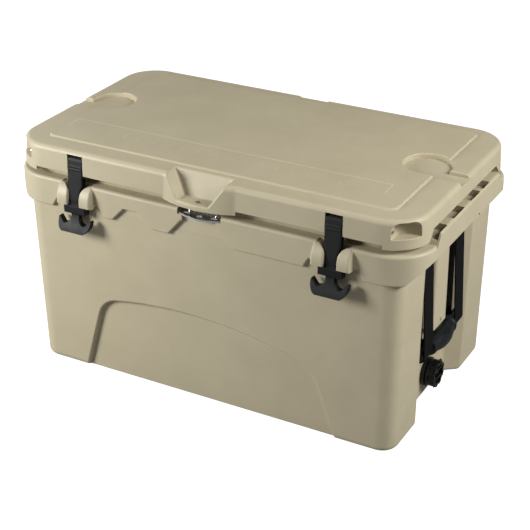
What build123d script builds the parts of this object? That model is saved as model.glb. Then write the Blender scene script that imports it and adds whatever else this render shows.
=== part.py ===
from build123d import *
import os

# Rotomoulded cooler chest: a double-walled body and lid filled with foam, two rubber
# T latches, a hinged lid, a strap handle at each end and a drain.  Millimetres, +Z up,
# front at -Y.  The origin is on the ground under the middle of the chest.

# driving sizes
width = 680.0            # over the body rim, along X
depth = 370.0            # over the rim, along Y
lid_top = 374.0          # height of the lid's flat border
pad_height = 1.5         # how far the rubber feet stand out below the shell
rim_top = 323.5          # top of the body rim, front and back
rim_bottom = 277.0       # lower edge of the rim band
cavity_length = 524.0
cavity_depth = 282.0
cavity_floor = 34.0
skin = 4.0               # moulded wall around the foam

half_w = width / 2
half_d = depth / 2
origin_shift = 10.5      # the latches stand out in front, so the box's middle is off the rim's

# body
wall_x = 313.0           # half width of the walls under the rim
wall_x_foot = 307.5      # half width at the ground
wall_y = 179.5
wall_y_foot = 178.0
wall_corner = 27.0
wall_top = 285.0         # the walls run up inside the rim
foot_round = 9.0
rim_round = 5.0
rim_corner = 62.0
land_top = 327.0         # raised sealing land around the cavity
side_rim_top = 339.0     # the rim is higher along each end
side_rim_half = 128.0
rim_troughs = ((-122, -86), (-63, -22), (3, 39), (49, 76))   # hollows in the top of that part
recess_x = 283.5         # floor of the handle recess
recess_half_out = 90.0
recess_half_in = 71.0
panel_x = 303.0          # raised panel between the two straps
panel_half = 25.0
panel_bottom = 130.0
panel_round = 6.0
arch_depth = 7.5
arch_round = 2.5
moulded_round = 3.0      # rounding of the moulding's outer corners

# lid
lid_x = 331.7
lid_corner = 58.0
lid_round = 8.0
lid_draft = 2.2          # degrees
tongue_y = -197.5
tongue_round = 14.0      # where the tongue's plan meets the front
lid_bottom = 332.0
lid_gap_bottom = 338.0   # the front edge is cut up to here beside the latches
lid_side_bottom = 347.0
seal_plane = 335.3
panel_top = 376.2
panel_w = 288.7          # half width of the raised panel
panel_front = -150.9
panel_back = 163.2
panel_slope = 50.0       # degrees off upright, all round the panel
groove_x_left = 279.0    # middle of each tie-down groove's round end
groove_x_right = 264.0
groove_y = 17.0
groove_r = 36.0
groove_channel = (-19.0, 11.0)   # front and back of the straight part
groove_depth = 6.0
padlock_y = -184.5
plug_r = 9.0             # closed hole through which the foam was poured
plug_y = 60.0

# latches
latch_x = 212.5
latch_pin_y = -176.5
latch_pin_z = 357.5
pin_r = 3.0
slot_half = 13.5
groove_half = 10.5
hook_r = 69.0            # underside of the keepers, measured from the latch pin

# hinge
hinge_y = 176.0
hinge_z = 343.0
hinge_pin_r = 4.0
lug_r = 9.0
lug_x = 190.0
lug_w = 70.0

# handles
rod_x = 296.0
rod_z = 303.0
rod_r = 4.0
grip_x = 300.5
grip_z = 111.0
core_r = 8.0
strap_y = 59.0
strap_w = 32.0
strap_t = 2.5

# drain
drain_z = 43.0
drain_r = 10.0
drain_bore = 7.5
running = 0.05           # radial clearance of a part that turns

# feet
foot_r = 16.0
foot_x = 268.0
foot_y = 148.0

os.makedirs("parts", exist_ok=True)


def save(name, shape):
    """Write one sub-part, moved so that the origin is under the middle of the whole box."""
    export_step(Pos(0, origin_shift, 0) * shape, f"parts/{name}.step")


def block(x0, x1, y0, y1, z0, z1):
    box = Box(x1 - x0, y1 - y0, z1 - z0)
    return Pos((x0 + x1) / 2, (y0 + y1) / 2, (z0 + z1) / 2) * box


def rod(radius, start, end):
    """A round bar between two points."""
    line = Vector(*end) - Vector(*start)
    plane = Plane(origin=start, z_dir=line)
    return extrude(plane * Circle(radius), line.length)


def slab(length, deep, corner, z0, z1):
    """A flat plate with rounded corners in plan."""
    return extrude(Pos(0, 0, z0) * RectangleRounded(length, deep, corner), z1 - z0)


def along_y(points, y0, y1):
    """A straight prism whose outline is given as (x, z) points."""
    face = make_face(Polyline(*[(x, 0, z) for x, z in points], close=True))
    return Pos(0, y0, 0) * extrude(face, y1 - y0, dir=(0, 1, 0))


def along_x(points, x0, x1):
    """A straight prism whose outline is given as (y, z) points."""
    face = make_face(Polyline(*[(0, y, z) for y, z in points], close=True))
    return Pos(x0, 0, 0) * extrude(face, x1 - x0, dir=(1, 0, 0))


def both(shape):
    """The shape and its mirror image on the other end of the chest."""
    return shape + mirror(shape, Plane.YZ)


# ---------------------------------------------------------------- body

def edges_within(shape, x=(-400, 400), y=(-400, 400), z=(-1, 400), shortest=0.0):
    """The edges whose middle lies in a box and that are long enough to round."""
    found = []
    for edge in shape.edges():
        middle = edge.center()
        if x[0] < middle.X < x[1] and y[0] < middle.Y < y[1] and z[0] < middle.Z < z[1] and edge.length > shortest:
            found.append(edge)
    return found


def body_walls():
    """Walls drafted outwards to the rim, with the handle recesses and the front arch let in."""
    low = Pos(0, 0, pad_height) * RectangleRounded(2 * wall_x_foot, 2 * wall_y_foot, wall_corner)
    high = Pos(0, 0, wall_top) * RectangleRounded(2 * wall_x, 2 * wall_y, wall_corner)
    walls = loft([low, high])
    walls = fillet(walls.faces().sort_by(Axis.Z)[0].edges(), foot_round)
    walls -= both(handle_recess())
    mouth = []
    for x in ((-400, -300), (300, 400)):
        for y in ((-100, -70), (70, 100)):
            mouth += edges_within(walls, x=x, y=y, shortest=100)
    walls = fillet(mouth, panel_round)
    walls -= front_arch()
    arch = dict(x=(-225, 225), z=(3, 160))
    walls = fillet(edges_within(walls, y=(-172, -169), **arch), arch_round)
    return fillet(edges_within(walls, y=(-180, -177), **arch), arch_round)


def body_rim():
    """The rim band: notched along the front, and higher over each end."""
    rim = slab(width, depth, rim_corner, rim_bottom, rim_top)
    rim = fillet(rim.faces().sort_by(Axis.Z)[-1].edges(), rim_round)
    rim -= both(band_notch(latch_x - 46, latch_x + 46, latch_x - 37, latch_x + 37, 292))
    rim -= band_notch(-54, 57, -31, 28, 303)
    rim -= band_notch(-152, -82, -130, -107, 299)
    front_low = edges_within(rim, y=(-half_d - 1, -half_d + 1), z=(rim_bottom - 1, 304), shortest=4)
    rim = fillet(front_low, moulded_round)
    undercut = along_y([(half_w + 1, 305), (wall_x, rim_bottom - 0.01), (half_w + 1, rim_bottom - 0.01)],
                       -half_d, half_d)
    rim -= both(undercut) + both(handle_recess())
    end_rim = slab(width, depth, rim_corner, rim_top - 8, side_rim_top)
    window = along_x([(-side_rim_half, rim_top - 7), (-side_rim_half + 17, side_rim_top + 1),
                      (side_rim_half - 17, side_rim_top + 1), (side_rim_half, rim_top - 7)], 298, half_w + 1)
    end_rim = fillet(end_rim.faces().sort_by(Axis.Z)[-1].edges(), rim_round - 1)
    land = slab(2 * 291, 2 * 165, 24, rim_top - 1, land_top)
    return rim + land + both(end_rim & window)


def handle_recess():
    """The space cut into one end for the straps, open at the ground."""
    plan = make_face(Polyline((recess_x, -recess_half_in), (half_w, -recess_half_out - 24),
                              (half_w, recess_half_out + 24), (recess_x, recess_half_in), close=True))
    space = extrude(plan, wall_top)
    panel = block(recess_x - 1, panel_x, -panel_half, panel_half, panel_bottom, wall_top + 1)
    panel = fillet(panel.edges().filter_by(Axis.Z).sort_by(Axis.X)[-2:], panel_round)
    space = fillet(space.edges().filter_by(Axis.Z).sort_by(Axis.X)[:2], 7)
    return space - panel


def strap_slot(y):
    """The slot in the rim that a strap loop hangs in and swings through."""
    slot = along_y([(rod_x - 10, rim_bottom - 30), (rod_x - 10, rod_z + 10), (rod_x + 10, rod_z + 10),
                    (rod_x + 40, rod_z - 8), (rod_x + 40, rim_bottom - 30)],
                   y - strap_w / 2 - 1, y + strap_w / 2 + 1)
    return slot


def front_arch():
    """The sunken arch on the front wall, open at the ground."""
    y = -wall_y - 5
    floor_line = pad_height - 2
    left = Line((-221, y, floor_line), (-190.5, y, 105.3))
    shoulder_left = TangentArc(left @ 1, (-158, y, 135), tangent=left % 1)
    crown = TangentArc(shoulder_left @ 1, (152, y, 120), tangent=shoulder_left % 1)
    shoulder_right = TangentArc(crown @ 1, (187.5, y, 86), tangent=crown % 1)
    start = shoulder_right @ 1
    slope = shoulder_right % 1
    foot = start + slope * ((floor_line - start.Z) / slope.Z)
    face = make_face([left, shoulder_left, crown, shoulder_right, Line(start, foot), Line(foot, left @ 0)])
    return extrude(face, arch_depth + wall_y + 5 - wall_y_foot, dir=(0, 1, 0))


def band_notch(x_low0, x_low1, x_high0, x_high1, z_high):
    """A place where the rim band's front is cut back to the wall."""
    return along_y([(x_low0, rim_bottom - 1), (x_high0, z_high), (x_high1, z_high), (x_low1, rim_bottom - 1)],
                   -half_d - 1, -wall_y + 0.5)


def latch_groove(x):
    """The funnel in the rim that the latch strap lies in."""
    narrow = block(x - groove_half, x + groove_half, -half_d - 20, -174, 280, rim_top + 5)
    wide = block(x - slot_half - 12, x + slot_half + 12, -half_d - 20, -174, 308, rim_top + 5)
    flare_r = 14.0
    for side in (-1, 1):
        cheek_x = x + side * (groove_half + flare_r)
        cheek = rod(flare_r, (cheek_x, -half_d - 21, 308), (cheek_x, -173, 308))
        wide = wide - cheek
    return narrow + wide


def keeper(x):
    """The pair of quarter-round bosses that the latch hooks under."""
    z_top = rim_top - 2
    front = -197.0
    bulge = make_face([
        Line((0, -half_d + 4, z_top), (0, -half_d, z_top)),
        ThreePointArc((0, -half_d, z_top), (0, -193.5, 311), (0, front, 298)),
        Line((0, front, 298), (0, front, 284)),
        Line((0, front, 284), (0, -174, 284)),
        Line((0, -174, 284), (0, -half_d + 4, z_top)),
    ])
    bosses = Pos(x - 30, 0, 0) * extrude(bulge, 60, dir=(1, 0, 0))
    sides = edges_within(bosses, x=(x - 31, x - 29), y=(-200, -186)) + \
        edges_within(bosses, x=(x + 29, x + 31), y=(-200, -186))
    bosses = fillet(sides, 4) - latch_groove(x)
    bosses &= rod(hook_r, (x - 31, latch_pin_y, latch_pin_z), (x + 31, latch_pin_y, latch_pin_z))
    corners = edges_within(bosses, x=(x - 26, x - 8), y=(-200, -188), z=(296, 322), shortest=5) + \
        edges_within(bosses, x=(x + 8, x + 26), y=(-200, -188), z=(296, 322), shortest=5)
    return fillet(corners, 2)


def lock_notch():
    """The bed in the rim for the steel lock plate, open in front below it."""
    bed = block(-36, 36, -half_d - 1, -160, 314, rim_top + 8)
    return bed + block(-29, 27, -half_d - 1, -wall_y, 300, 315)


def make_body():
    rim = body_rim() - both(latch_groove(latch_x))
    body = body_walls() + rim + both(keeper(latch_x))
    for y in (-strap_y, strap_y):
        body -= both(strap_slot(y))
    body -= lock_notch()
    cavity = slab(cavity_length, cavity_depth, 24, cavity_floor, land_top + 20)
    body -= fillet(cavity.faces().sort_by(Axis.Z)[0].edges(), 12)
    for y0, y1 in rim_troughs:
        body -= both(block(294, half_w - 2.5, y0, y1, 329, side_rim_top + 5))
    lugs = hinge_lug(lug_x)
    body += lugs + mirror(lugs, Plane.YZ)
    for side in (-1, 1):
        rod_hole = rod(rod_r, (side * rod_x, -90, rod_z), (side * rod_x, 90, rod_z))
        body -= rod_hole
        body -= rod(2.0, (side * (panel_x - 5), 3, 140), (side * (panel_x + 1), 3, 140))
        body -= rod(2.5, (side * (half_w - 8), 34, 305), (side * (half_w + 1), 34, 305))
    body -= rod(hinge_pin_r + running, (-lug_x - lug_w, hinge_y, hinge_z), (lug_x + lug_w, hinge_y, hinge_z))
    body -= rod(drain_r, (250, 0, drain_z), (300, 0, drain_z))
    body -= rod(16, (250, 0, drain_z), (cavity_length / 2 + 0.01, 0, drain_z))
    for x, y in foot_places():
        body -= Pos(x, y, 0) * extrude(Circle(foot_r), pad_height + 3)
        body -= Pos(x, y, 0) * extrude(Circle(2.0), pad_height + 12)
    for x in (-22, 22):
        body -= Pos(x, -170, 300) * extrude(Circle(2.2), 30)
    body -= Pos(0, plug_y, 0) * extrude(Circle(plug_r), 8.5)
    return body


def hinge_lug(x):
    """A lug on the back of the rim that carries one hinge pin."""
    barrel = rod(lug_r, (x - lug_w / 2, hinge_y, hinge_z), (x + lug_w / 2, hinge_y, hinge_z))
    neck = block(x - lug_w / 2, x + lug_w / 2, hinge_y - lug_r, hinge_y + lug_r, rim_top - 3, hinge_z)
    return barrel + neck


def foot_places():
    return [(sx * foot_x, sy * foot_y) for sx in (-1, 1) for sy in (-1, 1)]


def make_body_foam():
    core = slab(2 * 279, 2 * 164, 18, 8, 298)
    inside = slab(cavity_length + 2 * skin, cavity_depth + 2 * skin, 28, 24, 400)
    core -= inside
    for x, y in foot_places():
        core -= Pos(x, y, 0) * extrude(Circle(foot_r + skin), 17)
    return core


def clear_of_drain(core):
    return core - rod(20, (240, 0, drain_z), (300, 0, drain_z))


# ---------------------------------------------------------------- lid

def lid_blank():
    """The lid's shell, bulging in the middle of the front to cover the lock plate."""
    tongue = make_face([
        ThreePointArc((-59, -half_d + 1), (1, tongue_y), (61, -half_d + 1)),
        Line((61, -half_d + 1), (61, -150)),
        Line((61, -150), (-59, -150)),
        Line((-59, -150), (-59, -half_d + 1)),
    ])
    plan = RectangleRounded(2 * lid_x + 1, depth, lid_corner) + tongue
    inner_corners = [v for v in plan.vertices() if abs(v.X) < 70 and v.Y < 0]
    plan = fillet(inner_corners, tongue_round)
    lid = extrude(Pos(0, 0, lid_bottom) * plan, lid_top - lid_bottom, taper=lid_draft)
    lid = fillet(lid.faces().sort_by(Axis.Z)[-1].edges(), lid_round)
    raised = Pos(0, (panel_front + panel_back) / 2, lid_top - 1) * RectangleRounded(
        2 * panel_w, panel_back - panel_front, 14)
    return lid + extrude(raised, panel_top - lid_top + 1, taper=panel_slope)


def lock_pocket():
    """The funnel in the front of the lid where a padlock sits."""
    floor = 340.0
    front = -205.0
    outline = make_face(Polyline((-56, 0, lid_top + 3), (-30, 0, floor), (21, 0, floor), (47, 0, lid_top + 3),
                                 close=True))
    cut = Pos(0, front, 0) * extrude(outline, 60, dir=(0, 1, 0))
    back = along_x([(-157, lid_top + 4), (-174, floor - 1), (front - 1, floor - 1), (front - 1, lid_top + 4)],
                   -70, 70)
    cut = cut & back
    return cut


def corner_pocket():
    """The hollow in a front corner where the latch pin is fitted."""
    cut = block(295, 350, -200, -150, 347, 369.5)
    cut = fillet(cut.edges().filter_by(Axis.Z).sort_by(Axis.Y)[-2:].sort_by(Axis.X)[0], 12)
    arched = edges_within(cut, x=(294, 349), y=(-199, -149), z=(369, 370))
    return fillet(arched, 10)


def tie_groove(side):
    """A strap groove across the lid's end, with a round inner end."""
    floor = lid_top - groove_depth
    middle = groove_x_right if side > 0 else -groove_x_left
    x0, x1 = sorted((middle, side * (half_w + 5)))
    groove = block(x0, x1, *groove_channel, floor, panel_top + 5)
    return groove + Pos(middle, groove_y, floor) * extrude(Circle(groove_r), 20)


def make_lid():
    lid = lid_blank() - lock_pocket()
    lid = fillet(edges_within(lid, x=(-70, 75), y=(-200, -150), z=(339, 375), shortest=8), moulded_round)
    for side in (-1, 1):
        lid -= tie_groove(side)
        x0, x1 = sorted((side * 225, side * half_w))
        rounded = edges_within(lid, x=(x0, x1), y=(groove_y - 40, groove_y + 38), z=(lid_top - 2, 380), shortest=3)
        lid = fillet(rounded, 2)
    lid -= both(corner_pocket())
    for x in ((-350, -290), (290, 350)):
        lid = fillet(edges_within(lid, x=x, y=(-200, -140), z=(345, 370), shortest=3), 1)
    under = slab(2 * 258, 2 * 137, 22, 318, lid_bottom + 1)
    lid += under
    for side in (-1, 1):
        x0, x1 = sorted((side * 60, side * 284))
        lid -= block(x0, x1, -half_d - 1, -168, lid_bottom - 1, lid_gap_bottom)
        end = along_x([(-135, lid_bottom - 1), (-121, lid_side_bottom), (118, lid_side_bottom),
                       (132, lid_bottom - 1)], 296, 345)
        lid -= end if side > 0 else mirror(end, Plane.YZ)
        lid -= block(side * latch_x - slot_half, side * latch_x + slot_half, -half_d - 1, -168,
                     lid_bottom - 1, 368)
        lug_gap = lug_w / 2 + 1
        lid -= block(side * lug_x - lug_gap, side * lug_x + lug_gap, hinge_y - lug_r - 1.5, half_d + 5,
                     lid_bottom - 15, hinge_z + 13)
        reach0, reach1 = sorted((side * 181, side * 300))
        lid -= rod(pin_r, (reach0, latch_pin_y, latch_pin_z), (reach1, latch_pin_y, latch_pin_z))
    lid -= Pos(0, padlock_y, 320) * extrude(Circle(4.5), 30)
    lid -= block(-289, 289, -163, 163, lid_bottom - 20, seal_plane) - slab(2 * 258, 2 * 137, 22, 300, 340)
    pin_span = lug_x + lug_w / 2 + 20
    lid -= rod(hinge_pin_r, (-pin_span, hinge_y, hinge_z), (pin_span, hinge_y, hinge_z))
    lid -= Pos(0, plug_y, 317) * extrude(Circle(plug_r), 10)
    lid -= block(-26, 26, 173, 200, lid_top - 4, lid_top + 5)
    return lid


def make_lid_foam():
    core = slab(2 * 278, 2 * 145, 30, seal_plane + 5, lid_top - 10)
    core += slab(2 * 250, 2 * 130, 18, 324, seal_plane + 6)
    return core


# ---------------------------------------------------------------- latches

def make_latch(x):
    """A rubber T latch: eye, strap, cross bar that hooks under the keepers, and a finger T."""
    eye = rod(7.3, (x - 12.7, latch_pin_y, latch_pin_z), (x + 12.7, latch_pin_y, latch_pin_z))
    side_view = make_face([
        Line((0, latch_pin_y + 2, latch_pin_z), (0, latch_pin_y - 7.3, latch_pin_z)),
        Line((0, latch_pin_y - 7.3, latch_pin_z), (0, -191.5, 300)),
        Line((0, -191.5, 300), (0, -192, 276)),
        ThreePointArc((0, -192, 276), (0, -196, 264), (0, -206, 250)),
        Line((0, -206, 250), (0, -198, 247)),
        ThreePointArc((0, -198, 247), (0, -188, 261), (0, -184, 276)),
        Line((0, -184, 276), (0, -183.5, 300)),
        Line((0, -183.5, 300), (0, -177, 330)),
        Line((0, -177, 330), (0, latch_pin_y + 2, latch_pin_z)),
    ])
    curved = Pos(x - 40, 0, 0) * extrude(side_view, 80, dir=(1, 0, 0))
    top_half = 12.7
    neck_half = 8.5
    t_half = 29.0
    front_view = make_face([
        Line((x - top_half, 0, latch_pin_z + 1), (x + top_half, 0, latch_pin_z + 1)),
        Line((x + top_half, 0, latch_pin_z + 1), (x + top_half, 0, 322)),
        ThreePointArc((x + top_half, 0, 322), (x + 9.5, 0, 312), (x + neck_half, 0, 300)),
        Line((x + neck_half, 0, 300), (x + neck_half - 1, 0, 272)),
        ThreePointArc((x + neck_half - 1, 0, 272), (x + 11.5, 0, 263.5), (x + 18.5, 0, 261.5)),
        Line((x + 18.5, 0, 261.5), (x + 25.5, 0, 268.5)),
        ThreePointArc((x + 25.5, 0, 268.5), (x + 28.5, 0, 269.2), (x + t_half, 0, 266)),
        ThreePointArc((x + t_half, 0, 266), (x + 26.6, 0, 256.5), (x + 19, 0, 250.5)),
        Line((x + 19, 0, 250.5), (x - 19, 0, 250.5)),
        ThreePointArc((x - 19, 0, 250.5), (x - 26.6, 0, 256.5), (x - t_half, 0, 266)),
        ThreePointArc((x - t_half, 0, 266), (x - 28.5, 0, 269.2), (x - 25.5, 0, 268.5)),
        Line((x - 25.5, 0, 268.5), (x - 18.5, 0, 261.5)),
        ThreePointArc((x - 18.5, 0, 261.5), (x - 11.5, 0, 263.5), (x - neck_half + 1, 0, 272)),
        Line((x - neck_half + 1, 0, 272), (x - neck_half, 0, 300)),
        ThreePointArc((x - neck_half, 0, 300), (x - 9.5, 0, 312), (x - top_half, 0, 322)),
        Line((x - top_half, 0, 322), (x - top_half, 0, latch_pin_z + 1)),
    ])
    flat = Pos(0, -230, 0) * extrude(front_view, 80, dir=(0, 1, 0))
    bar_block = block(x - 19, x + 19, -194, -182, 276, 300)
    swing = rod(hook_r + 13, (x - 20, latch_pin_y, latch_pin_z), (x + 20, latch_pin_y, latch_pin_z))
    swing -= rod(hook_r + 0.4, (x - 21, latch_pin_y, latch_pin_z), (x + 21, latch_pin_y, latch_pin_z))
    latch = eye + (curved & flat) + (bar_block & swing)
    return latch - rod(pin_r + running, (x - 20, latch_pin_y, latch_pin_z), (x + 20, latch_pin_y, latch_pin_z))


def make_latch_pin(side):
    x0, x1 = sorted((side * 182, side * 296.5))
    return rod(pin_r, (x0, latch_pin_y, latch_pin_z), (x1, latch_pin_y, latch_pin_z))


# ---------------------------------------------------------------- handles

def loop_outline(r_rod, r_core):
    """The hull of two circles, one around the rod and one around the grip's core."""
    top = Pos(rod_x, rod_z) * Circle(r_rod)
    low = Pos(grip_x, grip_z) * Circle(r_core)
    return make_hull((top + low).edges())


def make_strap(y):
    outer = loop_outline(rod_r + running + strap_t, core_r + strap_t)
    inner = loop_outline(rod_r + running, core_r)
    plane = Plane(origin=(0, y + strap_w / 2, 0), x_dir=(1, 0, 0), z_dir=(0, -1, 0))
    return extrude(plane * (outer - inner), strap_w)


def make_grip():
    """A barrel-shaped grip with collars, on a core that passes through both strap loops."""
    half = strap_y - strap_w / 2 - 1
    end = strap_y + strap_w / 2 + 1
    profile = make_face([
        Line((0, -end), (core_r - 0.02, -end)),
        Line((core_r - 0.02, -end), (core_r - 0.02, -half)),
        Line((core_r - 0.02, -half), (14, -half)),
        Line((14, -half), (14, -half + 5)),
        ThreePointArc((14, -half + 5), (12.5, -half + 8), (12.8, -half + 14)),
        ThreePointArc((12.8, -half + 14), (14.3, 0), (12.8, half - 14)),
        ThreePointArc((12.8, half - 14), (12.5, half - 8), (14, half - 5)),
        Line((14, half - 5), (14, half)),
        Line((14, half), (core_r - 0.02, half)),
        Line((core_r - 0.02, half), (core_r - 0.02, end)),
        Line((core_r - 0.02, end), (0, end)),
        Line((0, end), (0, -end)),
    ])
    return Pos(grip_x, 0, grip_z) * revolve(profile, Axis.Y)


def make_button():
    shaft = rod(2.0, (panel_x - 5, 3, 140), (panel_x, 3, 140))
    head = rod(4.0, (panel_x, 3, 140), (panel_x + 1.8, 3, 140))
    return shaft + head


# ---------------------------------------------------------------- drain

def make_drain_fitting():
    tube = rod(drain_r, (257, 0, drain_z), (300, 0, drain_z))
    flange = rod(23, (286.0, 0, drain_z), (290.0, 0, drain_z))
    return tube + flange - rod(drain_bore, (250, 0, drain_z), (310, 0, drain_z))


def make_drain_cap():
    """A fluted screw cap, closed at the outer end."""
    x0, x1 = 292.0, 306.0
    cap = rod(21.0, (x0, 0, drain_z), (x1, 0, drain_z))
    flutes = 8
    for k in range(flutes):
        turn = Rot(X=360 / flutes * k)
        scoop = rod(5.5, (x0 + 3, 24.0, 0), (x1 + 1, 24.0, 0))
        cap -= Pos(0, 0, drain_z) * turn * scoop
    return cap - rod(drain_r + running, (x0 - 1, 0, drain_z), (301, 0, drain_z))


def ring(r_out, r_in, x0, x1):
    return rod(r_out, (x0, 0, drain_z), (x1, 0, drain_z)) - rod(r_in, (x0 - 1, 0, drain_z), (x1 + 1, 0, drain_z))


# ---------------------------------------------------------------- small parts

def make_lock_plate():
    plate = extrude(Pos(0, 0, 314) * make_face([
        Line((-34, -161), (-34, -184)),
        ThreePointArc((-34, -184), (-18, -189.5), (0, -193)),
        ThreePointArc((0, -193), (18, -189.5), (34, -184)),
        Line((34, -184), (34, -161)),
        Line((34, -161), (-34, -161)),
    ]), 3)
    plate -= Pos(0, padlock_y, 310) * extrude(Circle(4.5), 10)
    for x in (-22, 22):
        plate -= Pos(x, -170, 310) * extrude(Circle(2.2), 10)
        plate -= Pos(x, -181, 310) * extrude(SlotOverall(10, 5), 10)
    return plate


def make_plate_screws():
    screws = []
    for x in (-22, 22):
        screw = Pos(x, -170, 302) * extrude(Circle(2.2), 15)
        screw += Pos(x, -170, 317) * extrude(Circle(4), 1.6)
        screws.append(screw.solid())
    return Compound(screws)


def make_foot(x, y):
    pad = Pos(x, y, 0) * extrude(Circle(foot_r - 0.2), pad_height + 3)
    pad -= Pos(x, y, 0) * extrude(Circle(2.0), 20)
    return pad - Pos(x, y, 0) * extrude(Circle(5.0), 3.5)


def make_foot_screws():
    screws = []
    for x, y in foot_places():
        screw = Pos(x, y, 2) * extrude(Circle(4.5), 1.5)
        screw += Pos(x, y, 2) * extrude(Circle(2.0), 11)
        screws.append(screw.solid())
    return Compound(screws)


def make_gasket():
    ring_out = slab(2 * 284, 2 * 159, 26, land_top + 0.3, seal_plane)
    return ring_out - slab(2 * 270, 2 * 145, 20, land_top - 1, seal_plane + 1)


body = make_body()
body_foam = clear_of_drain(make_body_foam())
body -= body_foam
save("body_shell", body)
save("body_foam_core", body_foam)
save("body_foam_plug", Pos(0, plug_y, pad_height) * extrude(Circle(plug_r), 8 - pad_height))

lid = make_lid()
lid_foam = make_lid_foam()
lid -= lid_foam
save("lid_shell", lid)
save("lid_foam_core", lid_foam)
save("lid_foam_plug", Pos(0, plug_y, 318) * extrude(Circle(plug_r), 6))
save("lid_gasket", make_gasket())

for side, word in ((-1, "left"), (1, "right")):
    save(f"latch_{word}", make_latch(side * latch_x))
    save(f"latch_pin_{word}", make_latch_pin(side))
    x0 = side * lug_x - lug_w / 2 - 18
    x1 = side * lug_x + lug_w / 2 + 18
    save(f"hinge_pin_{word}", rod(hinge_pin_r, (x0, hinge_y, hinge_z), (x1, hinge_y, hinge_z)))
    straps = {"front": make_strap(-strap_y), "rear": make_strap(strap_y)}
    handle = {f"handle_strap_{word}_{place}": strap for place, strap in straps.items()}
    handle[f"handle_grip_{word}"] = make_grip()
    handle[f"handle_rod_{word}"] = rod(rod_r, (rod_x, -89, rod_z), (rod_x, 89, rod_z))
    handle[f"handle_stop_{word}"] = make_button()
    for node, shape in handle.items():
        save(node, shape if side > 0 else mirror(shape, Plane.YZ))

save("lock_plate", make_lock_plate())
save("lock_plate_screws", make_plate_screws())
save("drain_fitting", make_drain_fitting())
save("drain_gasket", ring(21, drain_r, recess_x, 286))
save("drain_nut", ring(14.5, drain_r, 257, 262))
save("drain_seal", ring(16, drain_r + running, 290, 292))
save("drain_cap", make_drain_cap())
for word, (x, y) in zip(("front_left", "rear_left", "front_right", "rear_right"), foot_places()):
    save(f"foot_{word}", make_foot(x, y))
save("foot_screws", make_foot_screws())
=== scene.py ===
import math

import bmesh
import bpy
from mathutils import Matrix, Vector


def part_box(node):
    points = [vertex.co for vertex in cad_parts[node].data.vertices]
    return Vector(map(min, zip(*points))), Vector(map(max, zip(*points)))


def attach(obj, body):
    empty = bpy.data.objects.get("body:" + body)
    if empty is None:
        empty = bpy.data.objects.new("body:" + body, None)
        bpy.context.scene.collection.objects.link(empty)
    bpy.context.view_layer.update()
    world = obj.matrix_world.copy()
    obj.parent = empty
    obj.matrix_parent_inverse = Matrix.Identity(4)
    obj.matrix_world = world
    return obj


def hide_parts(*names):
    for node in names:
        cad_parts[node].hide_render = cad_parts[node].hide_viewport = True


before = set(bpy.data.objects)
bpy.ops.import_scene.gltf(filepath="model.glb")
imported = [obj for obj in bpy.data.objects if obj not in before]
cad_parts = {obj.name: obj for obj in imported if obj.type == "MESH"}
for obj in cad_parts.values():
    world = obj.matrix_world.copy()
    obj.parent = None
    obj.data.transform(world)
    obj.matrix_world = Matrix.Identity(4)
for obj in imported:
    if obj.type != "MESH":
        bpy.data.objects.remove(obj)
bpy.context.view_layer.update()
print("frame loaded")

camera = {
    "target": (0.0670, -0.1015, 0.2226),  # metres
    "distance": 2.0487,
    "azimuth": 28.86,  # degrees round from the front, towards the drain end
    "elevation": 27.57,
    "roll": -0.35,
    "lens": 94.52,  # millimetres
    "sensor": 36.0,
    "clip": (0.05, 50),
}


# a unit vector from the chest towards a viewer
def lookFrom(azimuth, elevation):
    a, e = math.radians(azimuth), math.radians(elevation)
    return Vector((math.sin(a) * math.cos(e), -math.cos(a) * math.cos(e), math.sin(e)))


def makeCamera(settings):
    data = bpy.data.cameras.new("studioCamera")
    data.lens = settings["lens"]
    data.sensor_width = settings["sensor"]
    data.clip_start, data.clip_end = settings["clip"]
    rig = bpy.data.objects.new("studioCamera", data)
    back = lookFrom(settings["azimuth"], settings["elevation"])
    rig.location = Vector(settings["target"]) + back * settings["distance"]
    roll = Matrix.Rotation(math.radians(settings["roll"]), 3, "Z")
    rig.rotation_euler = ((-back).to_track_quat("-Z", "Y").to_matrix() @ roll).to_euler()
    bpy.context.scene.collection.objects.link(rig)
    bpy.context.scene.camera = rig


softBoxes = {
    # name: azimuth, elevation, distance in metres, side in metres, watts
    "keyLeft": (-46, 20, 1.8, 0.6, 31),
    "sideRight": (88, 34, 2.0, 0.7, 35),
    "overhead": (-120, 68, 2.4, 1.4, 7.5),
    "backFill": (238, 4, 2.6, 1.4, 14),
}


lampAim = Vector((0, 0, 0.18))  # about the middle of the chest


def makeLights(boxes):
    for name, (azimuth, elevation, distance, side, watts) in boxes.items():
        data = bpy.data.lights.new(name, "AREA")
        data.size = side
        data.energy = watts
        lamp = bpy.data.objects.new(name, data)
        back = lookFrom(azimuth, elevation)
        lamp.location = lampAim + back * distance
        lamp.rotation_euler = (-back).to_track_quat("-Z", "Y").to_euler()
        bpy.context.scene.collection.objects.link(lamp)


# an sRGB hex colour as linear RGBA
def toLinear(hexText):
    channels = [int(hexText[i:i + 2], 16) / 255 for i in (1, 3, 5)]
    return tuple(c / 12.92 if c <= 0.04045 else ((c + 0.055) / 1.055) ** 2.4 for c in channels) + (1.0,)


# one node with its settings, and its inputs as values or links; stops are a colour ramp's colours
def addNode(tree, kind, inputs=None, stops=(), **settings):
    node = tree.nodes.new(kind)
    for key, value in settings.items():
        setattr(node, key, value)
    for key, value in (inputs or {}).items():
        if isinstance(value, bpy.types.NodeSocket):
            tree.links.new(value, node.inputs[key])
        else:
            node.inputs[key].default_value = value
    for element, (position, colour) in zip(node.color_ramp.elements if stops else (), stops):
        element.position, element.color = position, toLinear(colour)
    return node


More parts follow.
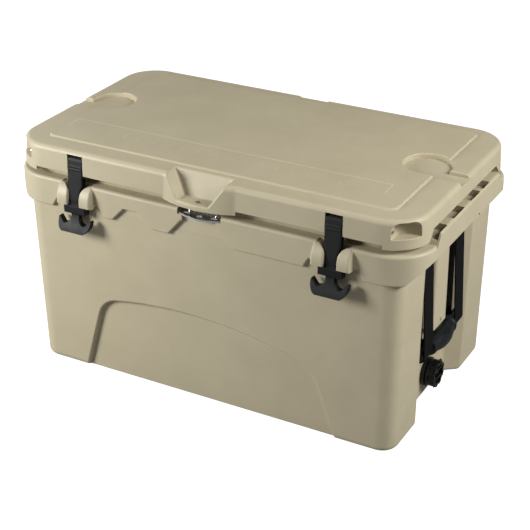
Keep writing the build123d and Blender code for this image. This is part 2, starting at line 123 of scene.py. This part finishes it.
# a new material, its tree, its shader and its object coordinates
def startMaterial(name, **shader):
    material = bpy.data.materials.new(name)
    material.use_nodes = True
    tree = material.node_tree
    surface = tree.nodes["Principled BSDF"]
    for key, value in shader.items():
        surface.inputs[key.replace("_", " ")].default_value = value
    where = addNode(tree, "ShaderNodeTexCoord").outputs["Object"]
    return material, tree, surface, where


# the scale that gives a pattern cells of this many millimetres
def perMillimetre(size):
    return 1000.0 / size


polyethylene = {
    "light": "#BEB498",
    "dark": "#B8AE92",
    "mottleSize": 70.0,  # mm
    "speckleSize": 1.6,
    "sheenSize": 18.0,
    "waveSize": 80.0,
    "peelSize": 2.6,  # mm between the bumps left by the powder in the mould
    "roughness": (0.42, 0.52),
}


# powder melted inside a heated mould: an even, waxy tan with a faint orange peel and slow
# waves where the wall cooled unevenly. Raised marks get a painted highlight: their tone is
# multiplied by paintedHighlight, which is 1 for plain walls
def rotomouldedPolyethylene(name, look, paintedHighlight=1.0):
    material, tree, surface, where = startMaterial(name)
    mottle = addNode(tree, "ShaderNodeTexNoise", {
        "Vector": where, "Scale": perMillimetre(look["mottleSize"]), "Detail": 4.0, "Roughness": 0.6})
    tone = addNode(tree, "ShaderNodeValToRGB", {"Fac": mottle.outputs["Fac"]},
                   stops=((0.34, look["dark"]), (0.68, look["light"])))
    speckle = addNode(tree, "ShaderNodeTexNoise", {
        "Vector": where, "Scale": perMillimetre(look["speckleSize"]), "Detail": 2.0, "Roughness": 0.7})
    # the random speckle times the painted highlight factor; above 1 it paints the tone paler
    speckleAndHighlight = addNode(tree, "ShaderNodeMapRange", {
        "Value": speckle.outputs["Fac"], "From Min": 0.3, "From Max": 0.7,
        "To Min": 0.975 * paintedHighlight, "To Max": 1.015 * paintedHighlight})
    speckledAndHighlit = addNode(tree, "ShaderNodeMix", {
        "Factor": 1.0, 6: tone.outputs["Color"], 7: speckleAndHighlight.outputs["Result"]},
        data_type="RGBA", blend_type="MULTIPLY")
    tree.links.new(speckledAndHighlit.outputs[2], surface.inputs["Base Color"])
    sheen = addNode(tree, "ShaderNodeTexNoise", {
        "Vector": where, "Scale": perMillimetre(look["sheenSize"]), "Detail": 6.0, "Roughness": 0.6})
    low, high = look["roughness"]
    rough = addNode(tree, "ShaderNodeMapRange", {
        "Value": sheen.outputs["Fac"], "From Min": 0.3, "From Max": 0.7, "To Min": low, "To Max": high})
    tree.links.new(rough.outputs["Result"], surface.inputs["Roughness"])
    waves = addNode(tree, "ShaderNodeTexNoise", {
        "Vector": where, "Scale": perMillimetre(look["waveSize"]), "Detail": 1.0, "Roughness": 0.4})
    sunk = addNode(tree, "ShaderNodeBump", {
        "Strength": 0.3, "Distance": 0.0016, "Height": waves.outputs["Fac"]})
    peel = addNode(tree, "ShaderNodeTexNoise", {
        "Vector": where, "Scale": perMillimetre(look["peelSize"]), "Detail": 3.0, "Roughness": 0.55})
    skin = addNode(tree, "ShaderNodeBump", {
        "Strength": 0.22, "Distance": 0.00018, "Height": peel.outputs["Fac"],
        "Normal": sunk.outputs["Normal"]})
    tree.links.new(skin.outputs["Normal"], surface.inputs["Normal"])
    return material


# compression-moulded rubber: bluish black, with a fine matt grain from the mould and a
# faint bloom, 14 mm across, that greys it and dulls its shine in patches
def mouldedRubber(name, light, dark, roughness, grain):
    material, tree, surface, where = startMaterial(name, Specular_IOR_Level=0.32)
    bloom = addNode(tree, "ShaderNodeTexNoise", {
        "Vector": where, "Scale": perMillimetre(14), "Detail": 5.0, "Roughness": 0.6})
    tone = addNode(tree, "ShaderNodeValToRGB", {"Fac": bloom.outputs["Fac"]},
                   stops=((0.35, dark), (0.72, light)))
    tree.links.new(tone.outputs["Color"], surface.inputs["Base Color"])
    rough = addNode(tree, "ShaderNodeMapRange", {
        "Value": bloom.outputs["Fac"], "From Min": 0.3, "From Max": 0.7,
        "To Min": roughness - 0.05, "To Max": roughness + 0.07})
    tree.links.new(rough.outputs["Result"], surface.inputs["Roughness"])
    fine = addNode(tree, "ShaderNodeTexNoise", {
        "Vector": where, "Scale": perMillimetre(grain), "Detail": 3.0, "Roughness": 0.6})
    matt = addNode(tree, "ShaderNodeBump", {
        "Strength": 0.35, "Distance": 0.00018, "Height": fine.outputs["Fac"]})
    tree.links.new(matt.outputs["Normal"], surface.inputs["Normal"])
    return material


webbing = {
    "ribPitch": 1.5,  # mm, along the chest's depth
    "weftPitch": 1.3,
    "black": "#030304",
    # the colour of the raised threads is a painted highlight
    "paintedThreadHighlight": "#090A0B",
}


# flat-woven nylon webbing: rows of fine ribs along the strap crossed by the weft, with the
# threads' soft sheen painted in as a paler colour on the raised threads, drawn a little
# coarser than real so that the weave shows
def wovenNylon(look):
    material, tree, surface, where = startMaterial(
        "wovenNylonWebbing", Roughness=0.8, Specular_IOR_Level=0.18)
    bands = []
    for pitch, direction in ((look["ribPitch"], "Y"), (look["weftPitch"], "Z")):
        wave = addNode(tree, "ShaderNodeTexWave", {
            "Vector": where, "Scale": perMillimetre(pitch) * math.pi / 10,  # a wave is pi / 10 of a unit long
            "Distortion": 0.4, "Detail": 1.0}, wave_type="BANDS", bands_direction=direction)
        bands.append(wave.outputs["Fac"])
    woven = addNode(tree, "ShaderNodeMath", {0: bands[0], 1: bands[1]}, operation="MULTIPLY")
    # painted sheen: the higher the weave, the paler its colour
    tone = addNode(tree, "ShaderNodeValToRGB", {"Fac": woven.outputs["Value"]},
                   stops=((0.05, look["black"]), (0.85, look["paintedThreadHighlight"])))
    tree.links.new(tone.outputs["Color"], surface.inputs["Base Color"])
    ribs = addNode(tree, "ShaderNodeBump", {
        "Strength": 0.6, "Distance": 0.0003, "Height": woven.outputs["Value"]})
    tree.links.new(ribs.outputs["Normal"], surface.inputs["Normal"])
    return material


# cold-rolled stainless steel, left bright: fine rolling lines along X and a slightly
# uneven polish
def brightStainless(name, roughness, lineSize):
    material, tree, surface, where = startMaterial(name, Metallic=1.0, Base_Color=toLinear("#D9DADB"))
    stretched = addNode(tree, "ShaderNodeMapping", {"Vector": where, "Scale": (0.04, 1.0, 1.0)})
    lines = addNode(tree, "ShaderNodeTexNoise", {
        "Vector": stretched.outputs["Vector"], "Scale": perMillimetre(lineSize),
        "Detail": 4.0, "Roughness": 0.6})
    rough = addNode(tree, "ShaderNodeMapRange", {
        "Value": lines.outputs["Fac"], "From Min": 0.3, "From Max": 0.7,
        "To Min": roughness - 0.07, "To Max": roughness + 0.10})
    tree.links.new(rough.outputs["Result"], surface.inputs["Roughness"])
    scored = addNode(tree, "ShaderNodeBump", {
        "Strength": 0.25, "Distance": 0.00006, "Height": lines.outputs["Fac"]})
    tree.links.new(scored.outputs["Normal"], surface.inputs["Normal"])
    return material


# foamed rubber or poured foam: small closed cells
def cellular(name, wall, cell, size, roughness):
    material, tree, surface, where = startMaterial(name, Roughness=roughness)
    cells = addNode(tree, "ShaderNodeTexVoronoi", {"Vector": where, "Scale": perMillimetre(size)})
    tone = addNode(tree, "ShaderNodeValToRGB", {"Fac": cells.outputs["Distance"]},
                   stops=((0.05, wall), (0.6, cell)))
    tree.links.new(tone.outputs["Color"], surface.inputs["Base Color"])
    pores = addNode(tree, "ShaderNodeBump", {
        "Strength": 0.5, "Distance": 0.0003, "Height": cells.outputs["Distance"]})
    tree.links.new(pores.outputs["Normal"], surface.inputs["Normal"])
    return material


# rubbers and nylon: light and dark colours, roughness, and grain in millimetres
finishes = {
    "shell": rotomouldedPolyethylene("rotomouldedPolyethylene", polyethylene),
    # painted highlight: numerals and ticks are painted 8% paler and the long lines 32% paler than the shell,
    # standing in for light caught by their edges
    "numerals": rotomouldedPolyethylene("embossedPolyethyleneNumeralsHighlit", polyethylene, 1.08),
    "rule": rotomouldedPolyethylene("embossedPolyethyleneRulePaintedHighlight", polyethylene, 1.32),
    "latch": mouldedRubber("latchRubber", "#101214", "#090A0C", 0.56, 0.9),
    "grip": mouldedRubber("gripRubber", "#171B20", "#0D1014", 0.42, 1.0),
    "foot": mouldedRubber("footRubber", "#2B2C2E", "#1A1B1C", 0.70, 1.2),
    "seal": mouldedRubber("drainSealRubber", "#2E2F31", "#1C1D1E", 0.62, 0.8),
    "nylon": mouldedRubber("glassFilledNylon", "#151618", "#0B0B0C", 0.34, 0.7),
    "webbing": wovenNylon(webbing),
    "sheet": brightStainless("stampedStainlessSheet", 0.24, 0.5),
    "rod": brightStainless("drawnStainlessRod", 0.20, 0.4),
    "gasket": cellular("spongeRubberSeal", "#6F7072", "#9A9B9D", 1.3, 0.82),
    "foam": cellular("rigidPolyurethaneFoam", "#C9A75A", "#E8D08C", 1.2, 0.9),
}
print("materials made")


# the object of a bmesh, with its material, its body and the nodes it stands for
def finishPiece(name, mesh, finish, body, replaced=()):
    data = bpy.data.meshes.new(name)
    mesh.to_mesh(data)
    mesh.free()
    piece = bpy.data.objects.new(name, data)
    bpy.context.scene.collection.objects.link(piece)
    data.materials.append(finishes[finish])
    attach(piece, body)
    if replaced:
        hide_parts(*replaced)
    return piece


# smooth faces, with edges sharper than the angle kept crisp
def shadeSmooth(mesh, angle=32.0):
    limit = math.radians(angle)
    for face in mesh.faces:
        face.smooth = True
    for edge in mesh.edges:
        edge.smooth = len(edge.link_faces) == 2 and edge.calc_face_angle(0.0) < limit


# a copy of a CAD node's mesh, joined up, with its flat faces whole again
def mergedCopy(node):
    mesh = bmesh.new()
    mesh.from_mesh(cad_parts[node].data)
    bmesh.ops.remove_doubles(mesh, verts=mesh.verts, dist=2e-6)
    bmesh.ops.dissolve_limit(mesh, angle_limit=math.radians(1.0), verts=mesh.verts, edges=mesh.edges)
    return mesh


def roundEdges(mesh, width, angle=38.0):
    limit = math.radians(angle)
    sharp = [e for e in mesh.edges if len(e.link_faces) == 2 and e.calc_face_angle(0.0) > limit]
    bmesh.ops.bevel(mesh, geom=sharp, offset=width, offset_type="OFFSET", segments=2, profile=0.5,
                    affect="EDGES", material=-1, clamp_overlap=True)


# keeps flat faces flat next to their rounded edges
def weighted(piece):
    modifier = piece.modifiers.new("weightedNormals", "WEIGHTED_NORMAL")
    modifier.keep_sharp = True


# a box in the mesh, by its middle and its full sizes
def boxAt(mesh, centre, size):
    made = bmesh.ops.create_cube(mesh, size=1.0)["verts"]
    bmesh.ops.scale(mesh, verts=made, vec=size)
    bmesh.ops.translate(mesh, verts=made, vec=centre)


# overlapping solids joined into one even skin of small quads
def fused(mesh, cell):
    data = bpy.data.meshes.new("fusing")
    mesh.to_mesh(data)
    mesh.free()
    blank = bpy.data.objects.new("fusing", data)
    bpy.context.scene.collection.objects.link(blank)
    remesh = blank.modifiers.new("fuse", "REMESH")
    remesh.mode = "VOXEL"
    remesh.voxel_size = cell
    skin = bmesh.new()
    skin.from_object(blank, bpy.context.evaluated_depsgraph_get())
    bpy.data.objects.remove(blank)
    bpy.data.meshes.remove(data)
    return skin


nodeFinishes = {
    "body_shell": "shell", "lid_shell": "shell", "body_foam_plug": "shell", "lid_foam_plug": "shell",
    "handle_stop": "shell", "body_foam_core": "foam", "lid_foam_core": "foam", "lid_gasket": "gasket",
    "latch_pin": "rod", "hinge_pin": "rod", "handle_rod": "rod", "lock_plate_screws": "rod",
    "foot_screws": "rod", "lock_plate": "sheet", "latch_": "latch", "handle_strap": "webbing",
    "handle_grip": "grip", "drain_fitting": "nylon", "drain_nut": "nylon", "drain_cap": "nylon",
    "drain_gasket": "seal", "drain_seal": "seal", "foot_": "foot",
}
for name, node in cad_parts.items():
    finish = next(nodeFinishes[start] for start in nodeFinishes if name.startswith(start))
    node.data.materials.clear()
    node.data.materials.append(finishes[finish])
print("CAD nodes finished")

latch = {
    "cell": 0.0006,  # metres, the size of the skin's quads
    "pin": (-0.1660, 0.3575),  # y and z of the latch's pin
    "clearOfPin": 0.0048,  # the skin is left unsmoothed this near to the pin
    "smoothing": 7,
    "eyeRadius": 0.0073,
    "strapLean": 0.135,  # how far the strap leans out for each metre down
    "ridges": (0.3500, 0.3455),  # heights of the two ridges below the eye
    "ridgeSize": (0.0215, 0.0018, 0.0018),
    "ridgeSunk": 0.0005,
}


def makeLatch(side):
    node = f"latch_{side}"
    low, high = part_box(node)
    middle = (low.x + high.x) / 2
    mesh = mergedCopy(node)
    bmesh.ops.triangulate(mesh, faces=mesh.faces)
    pinY, pinZ = latch["pin"]
    for z in latch["ridges"]:
        front = pinY - latch["eyeRadius"] - (pinZ - z) * latch["strapLean"]
        boxAt(mesh, (middle, front + latch["ridgeSunk"], z), latch["ridgeSize"])
    skin = fused(mesh, latch["cell"])
    loose = [v for v in skin.verts
             if math.hypot(v.co.y - pinY, v.co.z - pinZ) > latch["clearOfPin"]]
    for turn in range(latch["smoothing"]):
        bmesh.ops.smooth_vert(skin, verts=loose, factor=0.5,
                              use_axis_x=True, use_axis_y=True, use_axis_z=True)
    for face in skin.faces:
        face.smooth = True
    finishPiece(f"latchT_{side}", skin, "latch", node, (node,))


for side in ("left", "right"):
    makeLatch(side)
print("latches made")

plateRound = 0.0005  # metres
plate = mergedCopy("lock_plate")
roundEdges(plate, plateRound)
shadeSmooth(plate)
weighted(finishPiece("lockPlate", plate, "sheet", "body", ("lock_plate",)))
print("lock plate made")

grip = {
    # distance along the grip from its middle and radius, mm: core, collar, waist, palm swell
    "profile": ((76, 0), (76, 7.2), (75.2, 7.98), (43, 7.98), (42, 8.4), (42, 13.2), (41.2, 14), (36.8, 14),
                (35.8, 13.1), (34.8, 12.2), (33, 11.9), (28, 12.2), (20, 13.3), (10, 14.3), (0, 14.6)),
    "steps": 48,
    "bow": (0.0050, -0.0030),  # metres outwards and down in the middle
    "bowHalf": 0.042,
    "centre": (0.3005, 0.0105, 0.111),
    "longest": 0.004,  # parts of the profile longer than this are cut into shorter ones
    "cuts": 5,
}


def makeGrip(side):
    sign = 1 if side == "right" else -1
    node = f"handle_grip_{side}"
    mesh = bmesh.new()
    half = grip["profile"]
    outline = list(half) + [(-y, r) for y, r in reversed(half[:-1])]
    points = [mesh.verts.new((r / 1000, y / 1000, 0)) for y, r in outline]
    lines = [mesh.edges.new(pair) for pair in zip(points, points[1:])]
    long = [e for e in lines if e.calc_length() > grip["longest"]]
    bmesh.ops.subdivide_edges(mesh, edges=long, cuts=grip["cuts"])
    bmesh.ops.spin(mesh, geom=mesh.verts[:] + mesh.edges[:], cent=(0, 0, 0), axis=(0, 1, 0),
                   angle=math.tau, steps=grip["steps"], use_merge=True)
    bmesh.ops.remove_doubles(mesh, verts=mesh.verts, dist=1e-6)
    bmesh.ops.recalc_face_normals(mesh, faces=mesh.faces)
    out, down = grip["bow"]
    for vertex in mesh.verts:
        share = max(0.0, 1 - (vertex.co.y / grip["bowHalf"]) ** 2)
        vertex.co += Vector((sign * out, 0, down)) * share
    x, y, z = grip["centre"]
    bmesh.ops.translate(mesh, verts=mesh.verts, vec=(sign * x, y, z))
    shadeSmooth(mesh)
    finishPiece(f"moulded{side.capitalize()}Grip", mesh, "grip", f"handle_{side}", (node,))


strapRound = 0.0008  # metres


def makeStrap(side, place):
    node = f"handle_strap_{side}_{place}"
    mesh = mergedCopy(node)
    roundEdges(mesh, strapRound)
    shadeSmooth(mesh)
    name = f"webbingLoop_{side}_{place}"
    weighted(finishPiece(name, mesh, "webbing", f"handle_{side}", (node,)))


for side in ("left", "right"):
    makeGrip(side)
    for place in ("front", "rear"):
        makeStrap(side, place)
print("handles made")

cap = {
    "round": 0.0009,
    "wall": 0.0042,  # metres, the rim around the sunken face
    "sunk": 0.0035,
    "slope": 0.0004,  # how far the sunken face's wall leans in
    "bars": (-0.0068, 0.0068),  # heights of the two cross bars from the middle
    "barSize": (0.0031, 0.0250, 0.0026),
    "barDown": 0.0003,
    "barRound": 0.0005,
}


def makeCap():
    low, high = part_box("drain_cap")
    middle = (low + high) / 2
    mesh = mergedCopy("drain_cap")
    roundEdges(mesh, cap["round"])
    outer = max((f for f in mesh.faces if f.normal.x > 0.99), key=lambda f: f.calc_area())
    bmesh.ops.inset_region(mesh, faces=[outer], thickness=cap["wall"], use_even_offset=True)
    bmesh.ops.inset_region(mesh, faces=[outer], thickness=cap["slope"], depth=-cap["sunk"],
                           use_even_offset=True)
    shadeSmooth(mesh)
    weighted(finishPiece("screwCap", mesh, "nylon", "drain_cap", ("drain_cap",)))
    bars = bmesh.new()
    deep, wide, tall = cap["barSize"]
    for height in cap["bars"]:
        x = high.x - cap["slope"] - deep / 2 - cap["barDown"]
        boxAt(bars, (x, middle.y, middle.z + height), (deep, wide, tall))
    roundEdges(bars, cap["barRound"])
    shadeSmooth(bars)
    weighted(finishPiece("screwCapBars", bars, "nylon", "drain_cap"))


makeCap()
print("drain cap made")

ruler = {
    "top": 0.3762,  # metres, the height of the lid's raised panel
    "line": (-0.279, 0.251, -0.0645),  # ends and place of the long line
    "proud": 0.00007,
    "lineWidth": 0.0013,
    "markWidth": 0.0008,
    "step": 0.0127,  # half an inch
    "ticks": (0.0130, 0.0080),  # lengths of whole and half marks
    "ends": 0.0300,  # length of the two closing lines
    "numberSize": 0.0150,
    "numberY": -0.0965,
}


def addNumeral(mesh, text, place):
    curve = bpy.data.curves.new("numeral", "FONT")
    curve.body = text
    curve.size = ruler["numberSize"]
    curve.align_x = "CENTER"
    curve.extrude = ruler["proud"] / 2
    holder = bpy.data.objects.new("numeral", curve)
    shape = bpy.data.meshes.new_from_object(holder)
    start = len(mesh.verts)
    mesh.from_mesh(shape)
    mesh.verts.ensure_lookup_table()
    bmesh.ops.translate(mesh, verts=mesh.verts[start:], vec=place)
    bpy.data.meshes.remove(shape)
    bpy.data.objects.remove(holder)
    bpy.data.curves.remove(curve)


# a measuring scale moulded in the lid, hardly proud of the panel
def makeRuler():
    x0, x1, y = ruler["line"]
    z = ruler["top"] + ruler["proud"] / 2
    tall = ruler["proud"]
    lines = bmesh.new()
    boxAt(lines, ((x0 + x1) / 2, y, z), (x1 - x0, ruler["lineWidth"], tall))
    for x in (x0, x1):
        boxAt(lines, (x, y - ruler["ends"] / 2, z), (ruler["lineWidth"], ruler["ends"], tall))
    # the lines take the finish with the stronger painted highlight, the marks the fainter one
    finishPiece("lidRulerLines", lines, "rule", "lid")
    marks = bmesh.new()
    for place in range(1, int((x1 - x0) / ruler["step"]) + 1):
        length = ruler["ticks"][place % 2]
        x = x0 + place * ruler["step"]
        boxAt(marks, (x, y - length / 2 - ruler["lineWidth"], z), (ruler["markWidth"], length, tall))
        if place % 2 == 0:
            addNumeral(marks, str(place // 2), (x, ruler["numberY"], z))
    finishPiece("lidRulerMarks", marks, "numerals", "lid")


makeRuler()
print("ruler made")

studio = {
    "floorSize": 9.0,
    "floorTone": "#8C8C8C",  # the floor as the chest sees it; it shines white to the camera
    "worldStrength": 0.06,
}


def makeFloor():
    mesh = bmesh.new()
    bmesh.ops.create_grid(mesh, x_segments=1, y_segments=1, size=studio["floorSize"])
    data = bpy.data.meshes.new("studioFloor")
    mesh.to_mesh(data)
    mesh.free()
    floor = bpy.data.objects.new("studioFloor", data)
    bpy.context.scene.collection.objects.link(floor)
    material, tree, surface, where = startMaterial("whitePaperFloor", Roughness=0.9)
    surface.inputs["Base Color"].default_value = toLinear(studio["floorTone"])
    surface.inputs["Emission Color"].default_value = (1.0, 1.0, 1.0, 1.0)
    rays = addNode(tree, "ShaderNodeLightPath")
    tree.links.new(rays.outputs["Is Camera Ray"], surface.inputs["Emission Strength"])
    data.materials.append(material)


def makeWorld():
    world = bpy.data.worlds.new("studioWorld")
    world.use_nodes = True
    sky = world.node_tree.nodes["Background"]
    sky.inputs["Color"].default_value = (1.0, 1.0, 1.0, 1.0)
    sky.inputs["Strength"].default_value = studio["worldStrength"]
    bpy.context.scene.world = world


makeCamera(camera)
makeLights(softBoxes)
makeFloor()
makeWorld()
bpy.context.scene.view_settings.view_transform = "Standard"
print("studio made")
